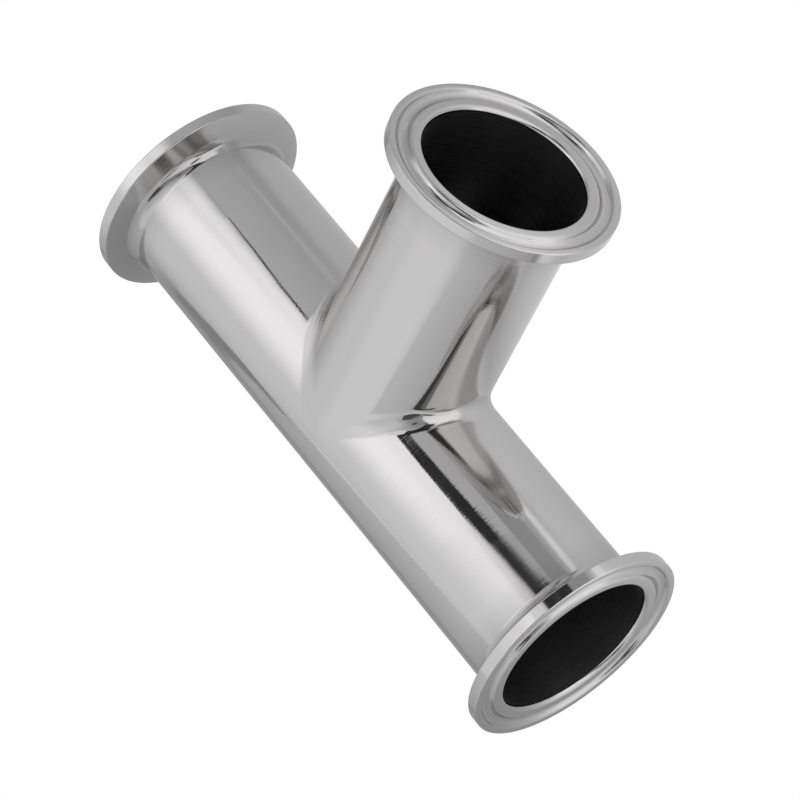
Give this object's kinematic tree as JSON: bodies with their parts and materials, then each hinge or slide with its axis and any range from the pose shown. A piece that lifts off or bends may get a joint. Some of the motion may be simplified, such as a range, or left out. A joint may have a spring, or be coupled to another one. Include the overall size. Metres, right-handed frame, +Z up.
{
  "type": "sanitary clamp tee",
  "caption": "Polished tube tee with equal branch and clamp ferrules at its open ends, for joining sanitary tubing in a line with a side branch.",
  "frame": {"origin": "crossing of the run's and the branch's centrelines", "axes": "+X along the run towards the right ferrule, +Y along the branch towards its ferrule, +Z up from the surface that the tee lies on"},
  "size_m": [0.14, 0.0952, 0.0506],
  "materials": {
    "buffed_steel": "buffed bright, with fine marks around the tube",
    "turned_steel": "turned and polished bright"
  },
  "bodies": {
    "root": {"tee_body": "buffed_steel", "run_ferrule_left": "turned_steel", "run_ferrule_right": "turned_steel", "branch_ferrule": "turned_steel"}
  },
  "joints": []
}
